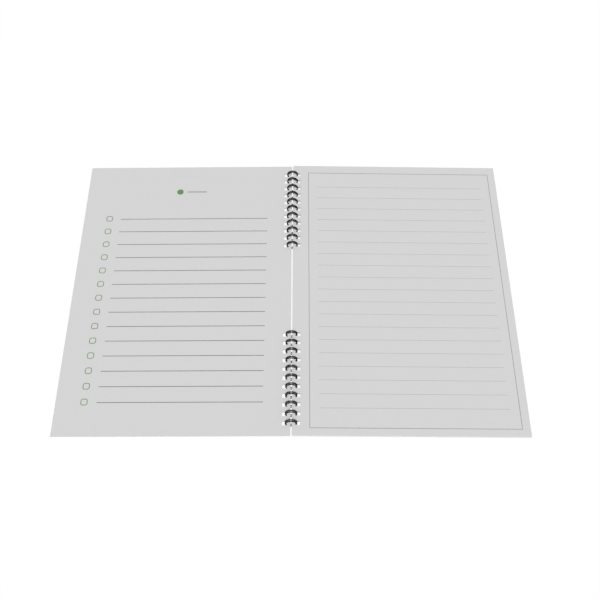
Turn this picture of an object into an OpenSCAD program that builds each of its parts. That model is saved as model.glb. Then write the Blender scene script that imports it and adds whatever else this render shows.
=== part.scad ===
// Twin-loop wire-bound notebook, lying open in the middle.
// The origin is on the table, under the middle of the spine.
// X runs across the open pages, Y runs up the page to its head, Z is up.
// Each half is drawn flat and upright, below the axis of the rings, and is then turned
// about that axis until its fore edge rests on the table.

/* [Page] */
// Width of a leaf, from the bound edge to the fore edge
page_w = 148; // [100:1:210]
// Height of a leaf
page_h = 210; // [210:1:297]
// Thickness of one leaf
leaf_t = 0.1; // [0.08:0.01:0.1]
// Number of leaves on the left side
left_count = 5; // [1:1:5]
// Number of leaves on the right side
right_count = 15; // [6:1:15]
// Thickness of a card cover
cover_t = 0.36; // [0.2:0.02:0.4]
// Gap between the bound edges of the two sides
spine_gap = 0.9; // [0.3:0.02:1.2]

/* [Binding] */
// Radius of a ring, to the middle of its wire
ring_r = 3.57; // [3.5:0.01:4.5]
// Diameter of the coated wire
wire_d = 0.75; // [0.6:0.05:0.9]
// Distance between the two wires of one loop
twin_gap = 1.06; // [1:0.02:1.4]
// Distance from one loop to the next
loop_pitch = 6.18; // [5:0.01:6.5]
// Loops in one comb
loop_count = 11; // [2:1:11]
// Distance of each comb's middle from the middle of the spine
comb_y = 65.94; // [40:0.02:66]
// Depth of a cover's outside below the axis of the rings
cover_drop = 1.72; // [1:0.02:1.9]
// Angle of the closing seam around the ring, from the right side
seam_angle = 295; // [290:1:300]

/* [Punched holes] */
// Distance of a hole's inner edge from the middle of the spine
hole_in = 2.55; // [2:0.05:2.6]
// Distance of a hole's outer edge from the middle of the spine
hole_out = 5.77; // [5.4:0.01:7]
// Width of a hole along the spine
hole_w = 2.72; // [2.5:0.02:3.5]

/* [Printed lists] */
// Distance between lines to write tasks on
task_pitch = 10.84; // [8:0.02:11]
// Height of the lowest task line above the middle of the page, below it when negative
task_y = -82.5; // [-95:0.05:-75]
// Number of task lines
task_count = 14; // [4:1:14]
// Start of a task line, measured from the spine
task_in = 17.8; // [12:0.1:40]
// End of a task line, measured from the spine
task_out = 122.4; // [80:0.1:124]
// Thickness of a task line
task_stroke = 0.45; // [0.2:0.05:0.8]
// Middle of the check boxes, measured from the spine
box_x = 130.35; // [128:0.05:140]
// Height of a check box's middle above its task line
box_lift = 0.4; // [0:0.05:3]
// Outside width of a check box
box_w = 4.6; // [4:0.05:6]
// Corner radius of a check box
box_r = 1.55; // [0.7:0.05:2]
// Thickness of a check box's outline
box_stroke = 0.6; // [0.2:0.05:0.65]

/* [Printed heading] */
// Height of the heading above the middle of the page
head_y = 82.3; // [75:0.1:95]
// Middle of the round bullet, measured from the spine
bullet_x = 81.5; // [79:0.1:110]
// Diameter of the round bullet
bullet_d = 4.7; // [2:0.1:6]
// Start of the blank title bar, measured from the spine
bar_in = 62.8; // [40:0.1:65]
// Length of the blank title bar
bar_l = 13; // [8:0.5:15]
// Width of the blank title bar
bar_w = 1.5; // [0.6:0.1:4]

/* [Printed notes page] */
// Side of the border nearest the spine
border_in = 11.45; // [8:0.05:16]
// Side of the border nearest the fore edge
border_out = 143.35; // [120:0.05:144]
// Head of the border
border_top = 98.6; // [90:0.1:100]
// Foot of the border
border_foot = -100.2; // [-101:0.05:-90]
// Thickness of the border line
border_stroke = 0.3; // [0.15:0.05:0.6]
// Distance between ruled lines
rule_pitch = 9.58; // [6:0.005:10]
// Height of the lowest ruled line
rule_y = -86.83; // [-95:0.01:-80]
// Number of ruled lines
rule_count = 19; // [5:1:19]
// Start of a ruled line, measured from the spine
rule_in = 17.7; // [12:0.1:30]
// End of a ruled line, measured from the spine
rule_out = 137.1; // [100:0.1:142]
// Thickness of a ruled line
rule_stroke = 0.25; // [0.1:0.05:0.5]
// Height of the ink on the paper
ink_t = 0.03; // [0.02:0.01:0.05]

/* [Hidden] */
$fn = 48;

// The rings stand on the table, so their axis is one outer radius above it.
axis_z = ring_r + wire_d / 2;
edge_in = spine_gap / 2;
edge_out = edge_in + page_w;
// The lower fore edge of a cover meets the table at this turn about the axis.
lean = asin(axis_z / norm([edge_out, cover_drop])) - atan2(cover_drop, edge_out);
// Heights below the axis of the rings, before the turn
cover_top = cover_drop - cover_t;
left_top = cover_top - left_count * leaf_t;
right_top = cover_top - right_count * leaf_t;

// The bends at a loop's root and tip keep the wire's centre on one small radius.
bend_r = twin_gap / 2;
root_angle = seam_angle + bend_r / ring_r * 180 / PI;
// The tip stops where its outside clears the roots by this much
tip_clearance = 0.06;
tip_back = sqrt((2 * bend_r + wire_d + tip_clearance) ^ 2 - (2 * bend_r) ^ 2);
tip_angle = root_angle - tip_back / ring_r * 180 / PI;
bridge_l = loop_pitch - 4 * bend_r;
// Turn of each of the two arcs that make a leg, more than half of the ring
lap_turn = 200;
// Length of the straight stub where the end of a comb is cut off
stub_l = 0.6;

function loop_y(i) = (i - (loop_count - 1) / 2) * loop_pitch;
loop_places = [
    for (side = [-1, 1], i = [0 : loop_count - 1]) side * comb_y + loop_y(i)
];

paper = [0.835, 0.835, 0.835];
card = [0.8, 0.8, 0.79];
black_coat = [0.06, 0.06, 0.065];
grey_ink = [0.5, 0.5, 0.5];
green_grey_ink = [0.56, 0.61, 0.55];
green_ink = [0.4, 0.57, 0.34];
pale_ink = [0.72, 0.74, 0.71];
border_ink = [0.56, 0.56, 0.57];
faint_ink = [0.68, 0.68, 0.69];

// Places what is drawn below a flat axis on the leaning right or left half.
module half_of(side) {
    translate([0, 0, axis_z])
        mirror([side < 0 ? 1 : 0, 0, 0])
            rotate([0, lean, 0])
                children();
}

// One leaf's outline, measured from the spine, with a slot for every loop.
module punched_outline() {
    difference() {
        translate([edge_in, -page_h / 2])
            square([page_w, page_h]);
        for (y = loop_places)
            translate([hole_in, y - hole_w / 2])
                square([hole_out - hole_in, hole_w]);
    }
}

// A stack of sheets whose faces lie between two depths below the axis.
module punched_stack(side, top, bottom) {
    half_of(side)
        translate([0, 0, -bottom])
            linear_extrude(bottom - top)
                punched_outline();
}

// Ink lies on the top sheet of a stack.
module printed(side, top) {
    half_of(side)
        translate([0, 0, -top])
            linear_extrude(ink_t)
                children();
}

module stroke_along_x(x_from, x_to, y, stroke) {
    translate([x_from, y - stroke / 2])
        square([x_to - x_from, stroke]);
}

module rounded_square(size, r) {
    straight = size / 2 - r;
    union() {
        square([size, 2 * straight], center = true);
        square([2 * straight, size], center = true);
        for (x = [-straight, straight], y = [-straight, straight])
            translate([x, y])
                circle(r);
    }
}

// Stands at one place around a ring: x points out from the axis, y along the wire's run.
module on_ring(angle) {
    rotate([90, 0, 0])
        rotate([0, 0, angle])
            translate([ring_r, 0, 0])
                rotate([0, 90, 0])
                    children();
}

// A bend of the wire in the plane that touches the ring, about a point beside it.
module bend(across, from, turn) {
    translate([across, 0, 0])
        rotate([0, 0, from])
            rotate_extrude(angle = turn)
                translate([bend_r, 0])
                    circle(d = wire_d);
}

module straight_wire(across, length) {
    translate([across, -bend_r, 0])
        rotate([0, 90, 0])
            cylinder(h = length, d = wire_d);
}

// Part of a leg, from one angle around the ring to another.
module ring_arc(across, from, turn) {
    translate([0, across, 0])
        rotate([90, 0, 0])
            rotate([0, 0, from])
                rotate_extrude(angle = turn)
                    translate([ring_r, 0])
                        circle(d = wire_d);
}

// One wire of a loop. Its two arcs lap over the top, so each end meets its bend exactly.
module ring_leg(across) {
    ring_arc(across, root_angle, lap_turn);
    ring_arc(across, tip_angle, -lap_turn);
}

// Two legs, the rounded tip that joins them, and the bends that spread at the root.
module twin_loop() {
    ring_leg(-bend_r);
    ring_leg(bend_r);
    on_ring(tip_angle)
        bend(0, 0, 180);
    on_ring(root_angle) {
        bend(2 * bend_r, 180, 90);
        bend(-2 * bend_r, 270, 90);
    }
}

// One wire bent into a whole comb: loops, straight bridges between them, cut stubs at the ends.
module wire_comb(middle_y) {
    translate([0, middle_y, axis_z]) {
        for (i = [0 : loop_count - 1])
            translate([0, loop_y(i), 0])
                twin_loop();
        for (i = [0 : loop_count - 2])
            translate([0, loop_y(i), 0])
                on_ring(root_angle)
                    straight_wire(2 * bend_r, bridge_l);
        translate([0, loop_y(loop_count - 1), 0])
            on_ring(root_angle)
                straight_wire(2 * bend_r, stub_l);
        translate([0, loop_y(0), 0])
            on_ring(root_angle)
                straight_wire(-2 * bend_r - stub_l, stub_l);
    }
}

module wire_comb_upper() {
    color(black_coat)
        wire_comb(comb_y);
}

module wire_comb_lower() {
    color(black_coat)
        wire_comb(-comb_y);
}

module front_cover() {
    color(card)
        punched_stack(-1, cover_top, cover_drop);
}

module back_cover() {
    color(card)
        punched_stack(1, cover_top, cover_drop);
}

module left_leaves() {
    color(paper)
        punched_stack(-1, left_top, cover_top);
}

module right_leaves() {
    color(paper)
        punched_stack(1, right_top, cover_top);
}

module task_lines() {
    color(grey_ink)
        printed(-1, left_top)
            for (i = [0 : task_count - 1])
                stroke_along_x(task_in, task_out, task_y + i * task_pitch, task_stroke);
}

module check_boxes() {
    color(green_grey_ink)
        printed(-1, left_top)
            for (i = [0 : task_count - 1])
                translate([box_x, task_y + i * task_pitch + box_lift])
                    difference() {
                        rounded_square(box_w, box_r);
                        rounded_square(box_w - 2 * box_stroke, box_r - box_stroke);
                    }
}

module title_bullet() {
    color(green_ink)
        printed(-1, left_top)
            translate([bullet_x, head_y])
                circle(d = bullet_d);
}

// The title's place is a plain bar with round ends.
module title_bar() {
    color(pale_ink)
        printed(-1, left_top) {
            stroke_along_x(bar_in, bar_in + bar_l, head_y, bar_w);
            for (x = [bar_in, bar_in + bar_l])
                translate([x, head_y])
                    circle(d = bar_w);
        }
}

module page_border() {
    color(border_ink)
        printed(1, right_top)
            difference() {
                translate([border_in, border_foot])
                    square([border_out - border_in, border_top - border_foot]);
                translate([border_in + border_stroke, border_foot + border_stroke])
                    square([
                        border_out - border_in - 2 * border_stroke,
                        border_top - border_foot - 2 * border_stroke
                    ]);
            }
}

module ruled_lines() {
    color(faint_ink)
        printed(1, right_top)
            for (i = [0 : rule_count - 1])
                stroke_along_x(rule_in, rule_out, rule_y + i * rule_pitch, rule_stroke);
}

wire_comb_upper();
wire_comb_lower();
front_cover();
back_cover();
left_leaves();
right_leaves();
task_lines();
check_boxes();
title_bullet();
title_bar();
page_border();
ruled_lines();
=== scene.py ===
# Dresses the open wire-bound notebook: punched leaves and covers, coated wire and ink, on a white table
import math
import bmesh
import bpy
import numpy as np
from mathutils import Matrix


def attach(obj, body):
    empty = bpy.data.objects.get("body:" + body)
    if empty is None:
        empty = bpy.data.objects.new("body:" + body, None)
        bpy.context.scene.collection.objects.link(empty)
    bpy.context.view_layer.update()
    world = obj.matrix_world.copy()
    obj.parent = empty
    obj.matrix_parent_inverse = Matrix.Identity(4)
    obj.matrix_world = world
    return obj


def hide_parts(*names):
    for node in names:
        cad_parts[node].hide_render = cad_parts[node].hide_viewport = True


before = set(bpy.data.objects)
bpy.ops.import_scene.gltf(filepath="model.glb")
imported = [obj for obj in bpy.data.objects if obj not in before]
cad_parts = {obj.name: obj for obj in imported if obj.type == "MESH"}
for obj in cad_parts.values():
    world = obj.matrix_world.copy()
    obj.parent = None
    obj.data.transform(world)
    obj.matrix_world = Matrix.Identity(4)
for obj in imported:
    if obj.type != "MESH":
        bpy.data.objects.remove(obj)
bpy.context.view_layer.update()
print("frame loaded:", len(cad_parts), "nodes")

mm = 0.001
rng = np.random.default_rng(7)      # the same small differences between leaves on every run

# What the whole notebook is laid out from, in metres
book = {
    "pageWidth": 148 * mm,
    "pageHeight": 210 * mm,
    "spineGap": 0.9 * mm,
    "leafPitch": 0.1 * mm,      # one leaf with the air under it
    "leftLeaves": 5,
    "rightLeaves": 15,
    "coverThickness": 0.36 * mm,
    "coverDrop": 1.72 * mm,     # outside of a cover below the middle of the rings
}
wire = {
    "ringRadius": 3.57 * mm,    # to the middle of the wire
    "diameter": 0.75 * mm,      # with its coat
    "loopPitch": 6.18 * mm,
    "loopCount": 11,
    "combMiddle": 65.94 * mm,   # from the middle of the spine
}

axisHeight = wire["ringRadius"] + wire["diameter"] / 2      # the rings stand on the table
foreEdge = book["spineGap"] / 2 + book["pageWidth"]
# each half turns down about the middle of the rings until its cover's fore edge is on the table
lean = (math.asin(axisHeight / math.hypot(foreEdge, book["coverDrop"]))
        - math.atan2(book["coverDrop"], foreEdge))
# depths of the upper sides of the covers and the stacks, below the middle of the rings
coverTop = book["coverDrop"] - book["coverThickness"]
leftTop = coverTop - book["leftLeaves"] * book["leafPitch"]
rightTop = coverTop - book["rightLeaves"] * book["leafPitch"]
loopPlaces = (np.arange(wire["loopCount"]) - (wire["loopCount"] - 1) / 2) * wire["loopPitch"]


# Camera

photoView = {
    "place": (4.38 * mm, -288.19 * mm, 487.76 * mm),
    "pitch": 60.037,            # degrees below the horizon
    "yaw": 0.2285,              # degrees to the right of straight ahead
    "roll": 0.314,              # degrees about the line of sight
    "lens": 50,                 # focal length and frame width, in millimetres
    "frameWidth": 36,
    "nearest": 10 * mm,         # what is closer to the lens isn't drawn
}


def placeCamera(view):
    # looks along +Y, turned down by pitch and right by yaw, then rolled about its own line of sight
    data = bpy.data.cameras.new("photo_camera")
    data.lens = view["lens"]
    data.sensor_width = view["frameWidth"]
    data.clip_start = view["nearest"]
    camera = bpy.data.objects.new("photo_camera", data)
    bpy.context.scene.collection.objects.link(camera)
    pitch, yaw, roll = (math.radians(view[name]) for name in ("pitch", "yaw", "roll"))
    level = np.array([math.sin(yaw), math.cos(yaw), 0])
    ahead = level * math.cos(pitch) - np.array([0, 0, math.sin(pitch)])
    right = np.array([math.cos(yaw), -math.sin(yaw), 0])
    up = np.cross(right, ahead)
    rolledRight = right * math.cos(roll) + up * math.sin(roll)
    rolledUp = up * math.cos(roll) - right * math.sin(roll)
    turn = np.eye(4)
    turn[:3, 0], turn[:3, 1], turn[:3, 2] = rolledRight, rolledUp, -ahead
    turn[:3, 3] = view["place"]
    camera.matrix_world = Matrix(turn.tolist())
    bpy.context.scene.camera = camera


placeCamera(photoView)
print("camera placed")


# Mesh helpers

def makePiece(name, points, faces, smooth, finish=None):
    # finish gives each face the number of its material
    mesh = bpy.data.meshes.new(name)
    mesh.from_pydata(points.tolist(), [], faces.tolist())
    mesh.polygons.foreach_set("use_smooth", np.full(len(mesh.polygons), smooth))
    if finish is not None:
        mesh.materials.append(None)
        mesh.materials.append(None)
        mesh.polygons.foreach_set("material_index", finish)
    mesh.update()
    piece = bpy.data.objects.new(name, mesh)
    bpy.context.scene.collection.objects.link(piece)
    return piece


def leanOut(points, side):
    # turns flat points down by the lean about the axis of the rings, then puts them on their side;
    # they come with x from the spine and z from that axis
    x = points[:, 0] * math.cos(lean) + points[:, 2] * math.sin(lean)
    z = points[:, 2] * math.cos(lean) - points[:, 0] * math.sin(lean)
    return np.stack([side * x, points[:, 1], z + axisHeight], 1)


# Leaves and covers

hole = {
    "inner": 2.55 * mm,         # edges nearest the spine and farthest from it
    "outer": 5.77 * mm,
    "width": 2.72 * mm,
}
sheet = {
    "paper": 0.086 * mm,        # thickness of a leaf alone, without the air
    "foreJitter": 0.16 * mm,    # how far leaves under the top one stop short at the fore edge
    "endJitter": 0.1 * mm,      # the same at head and foot
    "cellSize": 9 * mm,         # of the grid away from the holes
}


def gridLines(low, high, fixed):
    # the fixed places, and evenly spaced ones between them no further apart than a cell
    stops = np.concatenate([[low], fixed, [high]])
    counts = np.maximum(1, np.ceil(np.diff(stops) / sheet["cellSize"])).astype(int)
    runs = [np.linspace(a, b, n, endpoint=False) for a, b, n in zip(stops, stops[1:], counts)]
    return np.concatenate(runs + [[high]])


def punchedSheet(top, bottom, shortFore=0.0, shortHead=0.0, shortFoot=0.0):
    # a flat grid over x and y at two depths below the axis of the rings; cells inside a hole are
    # left out, and every open side of a cell gets a wall between the two layers
    holeY = np.sort(np.concatenate([s * wire["combMiddle"] + loopPlaces for s in (-1, 1)]))
    holeEnds = (holeY[:, None] + np.array([-0.5, 0.5]) * hole["width"]).ravel()
    xs = gridLines(book["spineGap"] / 2, foreEdge - shortFore, [hole["inner"], hole["outer"]])
    half = book["pageHeight"] / 2
    ys = gridLines(-half + shortFoot, half - shortHead, holeEnds)
    midX, midY = (xs[1:] + xs[:-1]) / 2, (ys[1:] + ys[:-1]) / 2
    inSlot = (midX > hole["inner"]) & (midX < hole["outer"])
    inHole = (np.abs(midY[:, None] - holeY) < hole["width"] / 2).any(1)
    solid = ~(inSlot[:, None] & inHole[None, :])
    nx, ny = len(xs), len(ys)
    gx, gy = np.meshgrid(xs, ys, indexing="ij")
    layers = [np.stack([gx, gy, np.full_like(gx, -depth)], -1) for depth in (top, bottom)]
    points = np.concatenate(layers).reshape(-1, 3)
    ids = np.arange(nx * ny).reshape(nx, ny)
    i, j = np.nonzero(solid)
    a, b, c, d = ids[i, j], ids[i + 1, j], ids[i + 1, j + 1], ids[i, j + 1]
    under = nx * ny
    faces = [np.stack([a, b, c, d], 1), np.stack([d, c, b, a], 1) + under]
    padded = np.pad(solid, 1)
    for dx, dy, start, end in ((0, -1, a, b), (1, 0, b, c), (0, 1, c, d), (-1, 0, d, a)):
        bare = ~padded[i + 1 + dx, j + 1 + dy]
        s, e = start[bare], end[bare]
        faces.append(np.stack([s, s + under, e + under, e], 1))
    cut = np.repeat([0, 1], [2 * len(a), sum(map(len, faces[2:]))])     # walls are cut edges
    used, faces = np.unique(np.concatenate(faces), return_inverse=True)
    return points[used], faces.reshape(-1, 4), cut


def finishSheets(name, side, points, faces, cut):
    if side < 0:
        faces = faces[:, ::-1]      # a mirrored shape turns inside out
    return makePiece(name, leanOut(points, side), faces, False, cut)


def leafStack(name, side, top, count):
    # leaves from the top one down; those under it stop a little short at three edges
    points, faces, cuts, total = [], [], [], 0
    for n in range(count):
        depth = top + n * book["leafPitch"]
        short = np.zeros(3) if n == 0 else rng.random(3) ** 2
        short = short * [sheet["foreJitter"], sheet["endJitter"], sheet["endJitter"]]
        one, quads, cut = punchedSheet(depth, depth + sheet["paper"], *short)
        points.append(one)
        faces.append(quads + total)
        cuts.append(cut)
        total += len(one)
    return finishSheets(name, side, np.concatenate(points), np.concatenate(faces), np.concatenate(cuts))


leftStack = leafStack("left_leaf_stack", -1, leftTop, book["leftLeaves"])
rightStack = leafStack("right_leaf_stack", 1, rightTop, book["rightLeaves"])
frontCard = finishSheets("front_cover_card", -1, *punchedSheet(coverTop, book["coverDrop"]))
backCard = finishSheets("back_cover_card", 1, *punchedSheet(coverTop, book["coverDrop"]))
for piece, node in ((leftStack, "left_leaves"), (rightStack, "right_leaves"),
                    (frontCard, "front_cover"), (backCard, "back_cover")):
    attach(piece, node)
    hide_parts(node)
print("leaves and covers made")


# Wire combs

# a loop's tip is its round end, and its roots are where its legs bend out into the bridges
comb = {
    "twinGap": 1.06 * mm,       # between the two wires of a loop
    "seamAngle": 295,           # degrees around the ring, from the right side
    "tipClearance": 0.06 * mm,  # between a tip and the roots beside it
    "stubLength": 0.6 * mm,     # cut end past the first root and the last one
    "stepAngle": 6,             # degrees between points along a loop
    "bendPoints": 8,            # points along a quarter of a tight bend
    "sides": 20,                # points around the wire
    "pinch": 0.05,              # how much the wire flattens in its tight bends
}
bendRadius = comb["twinGap"] / 2
rootAngle = math.radians(comb["seamAngle"]) + bendRadius / wire["ringRadius"]
tipReach = 2 * bendRadius + wire["diameter"] + comb["tipClearance"]     # between middles of wires
tipBack = math.sqrt(tipReach ** 2 - (2 * bendRadius) ** 2)
tipAngle = rootAngle - tipBack / wire["ringRadius"]


def onTangent(angle, across, along):
    # points in the plane that touches the ring at an angle, and the way out from the ring at each;
    # across is measured along the spine and along is measured round the ring
    out = np.array([math.cos(angle), 0, math.sin(angle)])
    run = np.array([-math.sin(angle), 0, math.cos(angle)])
    points = wire["ringRadius"] * out + np.outer(along, run)
    points[:, 1] = across
    return points, np.tile(out, (len(points), 1))


def loopLine():
    # one loop of wire: root bend, leg over the top, round tip, leg back and root bend; the bends are
    # quarter circles, the legs are arcs about the axis, and the second half mirrors the first
    step = math.radians(comb["stepAngle"])
    quarter = np.linspace(0, math.pi / 2, comb["bendPoints"])
    rootBend = onTangent(rootAngle, -bendRadius * (2 - np.sin(quarter)),
                         -bendRadius * (1 - np.cos(quarter))[::-1])
    turn = 2 * math.pi + tipAngle - rootAngle
    angles = rootAngle + np.linspace(0, turn, math.ceil(turn / step))[1:-1]
    out = np.stack([np.cos(angles), 0 * angles, np.sin(angles)], 1)
    leg = out * wire["ringRadius"]
    leg[:, 1] = -bendRadius
    tip = onTangent(tipAngle, -bendRadius * np.cos(quarter), bendRadius * np.sin(quarter))
    half = np.concatenate([rootBend[0], leg, tip[0]])
    normal = np.concatenate([rootBend[1], out, tip[1]])
    tight = np.concatenate([np.sin(quarter * 2), 0 * angles, np.sin(quarter)])     # 1 amid a bend
    mirrored = half[::-1] * [1, -1, 1]
    return (np.concatenate([half, mirrored[1:]]), np.concatenate([normal, normal[::-1][1:]]),
            np.concatenate([tight, tight[::-1][1:]]))


def closeEnds(piece, *rims):
    # one flat face over each open end of the wire
    work = bmesh.new()
    work.from_mesh(piece.data)
    work.verts.ensure_lookup_table()
    for rim in rims:
        work.faces.new([work.verts[k] for k in rim]).material_index = 1     # bare steel
    bmesh.ops.recalc_face_normals(work, faces=work.faces)
    work.to_mesh(piece.data)
    work.free()


def wireComb(name, middle):
    # the same loop at every place, joined by straight bridges, makes one line; a round section is
    # carried along it, standing across the line's direction, and flattened where a bend is tight
    line, normal, tight = loopLine()
    count = wire["loopCount"]
    lines = np.tile(line, (count, 1, 1))
    lines[:, :, 1] += loopPlaces[:, None]
    path = lines.reshape(-1, 3)
    normals = np.tile(normal, (count, 1))
    tights = np.tile(tight, count)
    stub = np.array([0, comb["stubLength"], 0])
    path = np.concatenate([[path[0] - stub], path, [path[-1] + stub]])
    normals = np.concatenate([normals[:1], normals, normals[-1:]])
    tights = np.concatenate([[0], tights, [0]])
    path[:, 1] += middle
    path[:, 2] += axisHeight
    ahead = np.gradient(path, axis=0)
    ahead /= np.linalg.norm(ahead, axis=1)[:, None]
    normals -= ahead * (normals * ahead).sum(1)[:, None]
    normals /= np.linalg.norm(normals, axis=1)[:, None]
    beside = np.cross(ahead, normals)
    around = np.arange(comb["sides"]) * 2 * math.pi / comb["sides"]
    radius = wire["diameter"] / 2
    high = radius * (1 - comb["pinch"] * tights)[:, None, None] * np.cos(around)[None, :, None]
    wide = radius * (1 + comb["pinch"] * tights)[:, None, None] * np.sin(around)[None, :, None]
    points = path[:, None] + high * normals[:, None] + wide * beside[:, None]
    ids = np.arange(points.shape[0] * comb["sides"]).reshape(-1, comb["sides"])
    nextId = np.roll(ids, -1, axis=1)
    quads = np.stack([ids[:-1], nextId[:-1], nextId[1:], ids[1:]], -1).reshape(-1, 4)
    piece = makePiece(name, points.reshape(-1, 3), quads, True, np.zeros(len(quads), int))
    closeEnds(piece, ids[0].tolist(), ids[-1][::-1].tolist())
    return piece


upperWire = wireComb("upper_comb_wire", wire["combMiddle"])
lowerWire = wireComb("lower_comb_wire", -wire["combMiddle"])
for piece, node in ((upperWire, "wire_comb_upper"), (lowerWire, "wire_comb_lower")):
    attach(piece, "binding")
    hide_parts(node)
print("wire combs made")


# Surface effects, each a node group that reads Object coordinates in metres

marks = {
    # lengths along x, y and z in millimetres, levels of detail, and degrees turned about z
    "cloud": {"lengths": (3, 4.5, 3), "detail": 3, "turn": 0},
    "alongFibre": {"lengths": (0.09, 0.7, 0.09), "detail": 2, "turn": 24},
    "acrossFibre": {"lengths": (0.6, 0.1, 0.1), "detail": 2, "turn": 9},
    "inkSpeck": {"lengths": (0.08, 0.11, 0.08), "detail": 2, "turn": 0},
    "inkPatch": {"lengths": (1.6, 1.1, 1.6), "detail": 3, "turn": 0},
    "peel": {"lengths": (0.28, 0.28, 0.28), "detail": 1, "turn": 0},
    "rub": {"lengths": (1.1, 0.7, 1.1), "detail": 4, "turn": 0},
}
shares = {
    "fibreRoughness": 0.2,      # what a fibre adds to the roughness
    "cloudHeight": 0.6,         # how high a cloud stands beside a fibre
    "rubRoughness": 0.25,       # what a rubbed patch adds to the roughness
}


def newGroup(name, inputs, outputs):
    # inputs are a label, a socket type and a usual value, outputs a label and a socket type
    group = bpy.data.node_groups.new(name, "ShaderNodeTree")
    for label, kind, value in inputs:
        socket = group.interface.new_socket(label, in_out="INPUT", socket_type="NodeSocket" + kind)
        if value is not None:
            socket.default_value = value
    for label, kind in outputs:
        group.interface.new_socket(label, in_out="OUTPUT", socket_type="NodeSocket" + kind)
    return group, group.nodes.new("NodeGroupInput").outputs, group.nodes.new("NodeGroupOutput").inputs


def feed(tree, socket, value):
    # a socket takes a plain value, or the output that it comes from
    if isinstance(value, bpy.types.NodeSocket):
        tree.links.new(value, socket)
    else:
        socket.default_value = value


def mathNode(tree, operation, *values):
    node = tree.nodes.new("ShaderNodeMath")
    node.operation = operation
    for socket, value in zip(node.inputs, values):
        feed(tree, socket, value)
    return node.outputs[0]


def scaled(tree, colour, amount):
    node = tree.nodes.new("ShaderNodeVectorMath")
    node.operation = "SCALE"
    feed(tree, node.inputs[0], colour)
    feed(tree, node.inputs["Scale"], amount)
    return node.outputs[0]


def grain(tree, spot, mark):
    # noise about zero, stretched to the lengths of its marks
    mapping = tree.nodes.new("ShaderNodeMapping")
    mapping.inputs["Rotation"].default_value = (0, 0, math.radians(mark["turn"]))
    mapping.inputs["Scale"].default_value = [1 / (length * mm) for length in mark["lengths"]]
    tree.links.new(spot, mapping.inputs["Vector"])
    noise = tree.nodes.new("ShaderNodeTexNoise")
    noise.inputs["Scale"].default_value = 1
    noise.inputs["Detail"].default_value = mark["detail"]
    tree.links.new(mapping.outputs[0], noise.inputs["Vector"])
    return mathNode(tree, "SUBTRACT", noise.outputs[0], 0.5)


def paperFibre():
    # matted fibres lie two ways over each other, in paper that is a little cloudy
    group, given, out = newGroup(
        "paper_fibre",
        [("Place", "Vector", None), ("Colour", "Color", (0.65, 0.65, 0.65, 1)), ("Cloud", "Float", 0.01),
         ("Fibre", "Float", 0.02), ("Roughness", "Float", 0.85)],
        [("Colour", "Color"), ("Roughness", "Float"), ("Height", "Float")])
    cloud = grain(group, given["Place"], marks["cloud"])
    along = grain(group, given["Place"], marks["alongFibre"])
    across = grain(group, given["Place"], marks["acrossFibre"])
    fibre = mathNode(group, "MAXIMUM", along, across)
    tone = mathNode(group, "MULTIPLY_ADD", cloud, given["Cloud"], 1)
    tone = mathNode(group, "MULTIPLY_ADD", fibre, given["Fibre"], tone)
    group.links.new(scaled(group, given["Colour"], tone), out["Colour"])
    rough = mathNode(group, "MULTIPLY_ADD", fibre, shares["fibreRoughness"], given["Roughness"])
    group.links.new(rough, out["Roughness"])
    group.links.new(mathNode(group, "MULTIPLY_ADD", cloud, shares["cloudHeight"], fibre), out["Height"])
    return group


def inkSpeckle():
    # the share of bare paper that shows through ink, in fine specks and in softer patches
    group, given, out = newGroup(
        "ink_speckle",
        [("Place", "Vector", None), ("Specks", "Float", 0.2), ("Patches", "Float", 0.1)],
        [("Bare", "Float")])
    specks = mathNode(group, "ABSOLUTE", grain(group, given["Place"], marks["inkSpeck"]))
    patches = mathNode(group, "ABSOLUTE", grain(group, given["Place"], marks["inkPatch"]))
    bare = mathNode(group, "MULTIPLY", specks, given["Specks"])
    group.links.new(mathNode(group, "MULTIPLY_ADD", patches, given["Patches"], bare), out["Bare"])
    return group


def coatSkin():
    # a dipped coat: faint orange peel, and rubbed patches where it has lost a little of its shine
    group, given, out = newGroup(
        "coat_skin",
        [("Place", "Vector", None), ("Colour", "Color", (0.01, 0.01, 0.01, 1)), ("Rub", "Float", 0.3),
         ("Roughness", "Float", 0.3)],
        [("Colour", "Color"), ("Roughness", "Float"), ("Height", "Float")])
    peel = grain(group, given["Place"], marks["peel"])
    rub = mathNode(group, "ABSOLUTE", grain(group, given["Place"], marks["rub"]))
    tone = mathNode(group, "MULTIPLY_ADD", rub, given["Rub"], 1)
    group.links.new(scaled(group, given["Colour"], tone), out["Colour"])
    rough = mathNode(group, "MULTIPLY_ADD", rub, shares["rubRoughness"], given["Roughness"])
    group.links.new(rough, out["Roughness"])
    group.links.new(peel, out["Height"])
    return group


fibreGroup = paperFibre()
speckleGroup = inkSpeckle()
coatGroup = coatSkin()


# Materials

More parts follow.
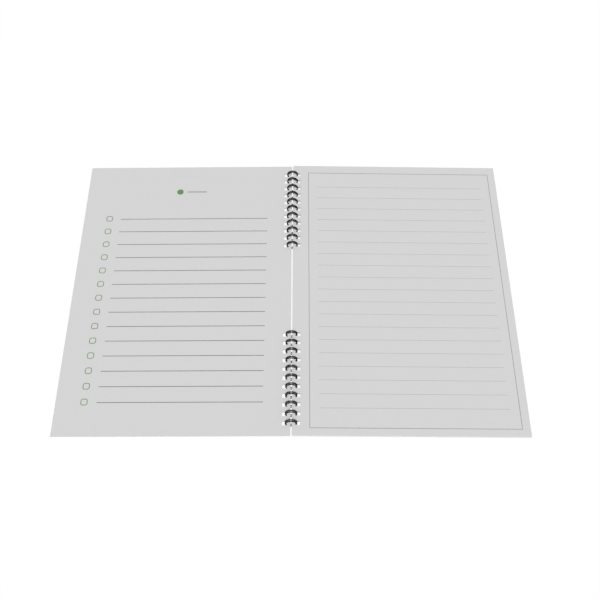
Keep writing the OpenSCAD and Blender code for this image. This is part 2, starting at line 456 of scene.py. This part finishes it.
looks = {
    # cloud, fibre and rub are the strengths of those marks, relief is their height
    "pagePaper": {"colour": (0.648, 0.648, 0.648, 1), "cloud": 0.022, "fibre": 0.15, "roughness": 0.82,
                  "relief": 0.022 * mm},
    # cut edges carry painted light: coloured well above the page so that hole walls and stack edges, which
    # get less light, render about as light as the page
    "cutPaperPaintedLight": {"colour": (0.84, 0.84, 0.84, 1), "cloud": 0.03, "fibre": 0.08, "roughness": 0.9,
                 "relief": 0.012 * mm},
    "coverCard": {"colour": (0.62, 0.62, 0.61, 1), "cloud": 0.1, "fibre": 0.2, "roughness": 0.74,
                  "relief": 0.03 * mm},
    "coat": {"colour": (0.0095, 0.0095, 0.01, 1), "rub": 0.5, "roughness": 0.33, "shine": 0.12,
             "relief": 0.006 * mm},
    "steel": {"colour": (0.5, 0.5, 0.51, 1), "rub": 0.4, "roughness": 0.3, "relief": 0.01 * mm},
}
inks = {
    "specks": 0.22,             # strengths of the bare spots
    "patches": 0.1,
    "roughness": 0.7,
    "colours": {
        "task_lines": (0.158, 0.158, 0.156, 1),
        "check_boxes": (0.217, 0.308, 0.183, 1),
        "title_bullet": (0.1, 0.245, 0.07, 1),
        "title_bar": (0.41, 0.45, 0.4, 1),
        "page_border": (0.205, 0.205, 0.215, 1),
        "ruled_lines": (0.412, 0.412, 0.42, 1),
    },
}


def newMaterial(name):
    material = bpy.data.materials.new(name)
    material.use_nodes = True
    return material, material.node_tree, material.node_tree.nodes["Principled BSDF"]


def objectPlace(tree):
    return tree.nodes.new("ShaderNodeTexCoord").outputs["Object"]


def useGroup(tree, group, **values):
    node = tree.nodes.new("ShaderNodeGroup")
    node.node_tree = group
    for label, value in values.items():
        feed(tree, node.inputs[label], value)
    return node.outputs


def addRelief(tree, shader, height, distance):
    bump = tree.nodes.new("ShaderNodeBump")
    bump.inputs["Distance"].default_value = distance
    tree.links.new(height, bump.inputs["Height"])
    tree.links.new(bump.outputs[0], shader.inputs["Normal"])


def paperMaterial(name, look):
    material, tree, shader = newMaterial(name)
    fibre = useGroup(tree, fibreGroup, Place=objectPlace(tree), Colour=look["colour"], Cloud=look["cloud"],
                     Fibre=look["fibre"], Roughness=look["roughness"])
    tree.links.new(fibre["Colour"], shader.inputs["Base Color"])
    tree.links.new(fibre["Roughness"], shader.inputs["Roughness"])
    addRelief(tree, shader, fibre["Height"], look["relief"])
    return material


def inkMaterial(name, colour):
    # ink soaks into the same fibres as the page's, and bare paper shows through it in specks
    material, tree, shader = newMaterial(name)
    page = looks["pagePaper"]
    spot = objectPlace(tree)
    fibre = useGroup(tree, fibreGroup, Place=spot, Colour=page["colour"], Cloud=page["cloud"],
                     Fibre=page["fibre"], Roughness=inks["roughness"])
    speckle = useGroup(tree, speckleGroup, Place=spot, Specks=inks["specks"], Patches=inks["patches"])
    mix = tree.nodes.new("ShaderNodeMix")
    mix.data_type = "RGBA"
    tree.links.new(speckle["Bare"], mix.inputs["Factor"])
    mix.inputs["A"].default_value = colour
    tree.links.new(fibre["Colour"], mix.inputs["B"])
    tree.links.new(mix.outputs["Result"], shader.inputs["Base Color"])
    tree.links.new(fibre["Roughness"], shader.inputs["Roughness"])
    addRelief(tree, shader, fibre["Height"], page["relief"])
    return material


def metalMaterial(name, look):
    material, tree, shader = newMaterial(name)
    skin = useGroup(tree, coatGroup, Place=objectPlace(tree), Colour=look["colour"], Rub=look["rub"],
                    Roughness=look["roughness"])
    tree.links.new(skin["Colour"], shader.inputs["Base Color"])
    tree.links.new(skin["Roughness"], shader.inputs["Roughness"])
    addRelief(tree, shader, skin["Height"], look["relief"])
    return material, shader


pagePaper = paperMaterial("page_paper", looks["pagePaper"])
# cut-edge paper with painted light, lighter than the page to cancel the shade on walls and edges
cutPaperPaintedLight = paperMaterial("cut_paper_painted_light", looks["cutPaperPaintedLight"])
coverCard = paperMaterial("cover_card", looks["coverCard"])
coatedWire, coatShader = metalMaterial("coated_wire", looks["coat"])
coatShader.inputs["Specular IOR Level"].default_value = looks["coat"]["shine"]
cutSteel, steelShader = metalMaterial("cut_steel", looks["steel"])
steelShader.inputs["Metallic"].default_value = 1

for pieces, faceLook, edgeLook in (((leftStack, rightStack), pagePaper, cutPaperPaintedLight),
                                   ((frontCard, backCard), coverCard, cutPaperPaintedLight),
                                   ((upperWire, lowerWire), coatedWire, cutSteel)):
    for piece in pieces:
        piece.data.materials[0] = faceLook
        piece.data.materials[1] = edgeLook
for node, colour in inks["colours"].items():
    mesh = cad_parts[node].data
    mesh.materials.clear()
    mesh.materials.append(inkMaterial(node + "_ink", colour))
print("materials made")


# Table and light

light = {
    "sky": 0.28,                # strength of the even light from all round
    "lampShare": 0.72,          # what the lamp adds on a level surface, so that both come to 1
    "lampHeight": 62,           # degrees above the horizon
    "lampSide": -8,             # degrees round from behind the camera, below 0 to the left
    "lampWidth": 18,            # degrees across, for soft shadow edges
}
table = {
    "reach": 3,                 # metres from its middle to an edge
    "colour": (0.8, 0.8, 0.8, 1),
    "glow": 0.88,               # share of plain white that the camera sees, the rest keeps the shadow
    "glowStrength": 1.03,
}


def seenDirectly(tree):
    # 1 for what the camera, a reflection or clear glass sees, 0 for light that is bounced about
    ray = tree.nodes.new("ShaderNodeLightPath").outputs
    either = mathNode(tree, "MAXIMUM", ray["Is Camera Ray"], ray["Is Glossy Ray"])
    return mathNode(tree, "MAXIMUM", either, ray["Is Transmission Ray"])


def makeTable():
    corners = np.array([[-1, -1, 0], [1, -1, 0], [1, 1, 0], [-1, 1, 0]]) * table["reach"]
    top = makePiece("white_table", corners, np.array([[0, 1, 2, 3]]), False)
    material, tree, shader = newMaterial("white_table")
    tree.nodes.remove(shader)
    diffuse = tree.nodes.new("ShaderNodeBsdfDiffuse")
    diffuse.inputs["Color"].default_value = table["colour"]
    glow = tree.nodes.new("ShaderNodeEmission")
    glow.inputs["Strength"].default_value = table["glowStrength"]
    mix = tree.nodes.new("ShaderNodeMixShader")
    tree.links.new(mathNode(tree, "MULTIPLY", seenDirectly(tree), table["glow"]), mix.inputs[0])
    tree.links.new(diffuse.outputs[0], mix.inputs[1])
    tree.links.new(glow.outputs[0], mix.inputs[2])
    tree.links.new(mix.outputs[0], tree.nodes["Material Output"].inputs["Surface"])
    top.data.materials.append(material)


def makeLight():
    world = bpy.data.worlds.new("soft_white")
    bpy.context.scene.world = world
    world.use_nodes = True
    tree = world.node_tree
    background = tree.nodes["Background"]
    background.inputs["Color"].default_value = (1, 1, 1, 1)
    strength = mathNode(tree, "MULTIPLY_ADD", seenDirectly(tree), 1 - light["sky"], light["sky"])
    tree.links.new(strength, background.inputs["Strength"])
    up = math.radians(light["lampHeight"])
    lamp = bpy.data.lights.new("soft_lamp", "SUN")
    lamp.energy = light["lampShare"] * math.pi / math.sin(up)
    lamp.angle = math.radians(light["lampWidth"])
    holder = bpy.data.objects.new("soft_lamp", lamp)
    holder.rotation_euler = (math.pi / 2 - up, 0, math.radians(light["lampSide"]))
    bpy.context.scene.collection.objects.link(holder)


makeTable()
makeLight()
bpy.context.scene.view_settings.view_transform = "Standard"
print("table and light placed")
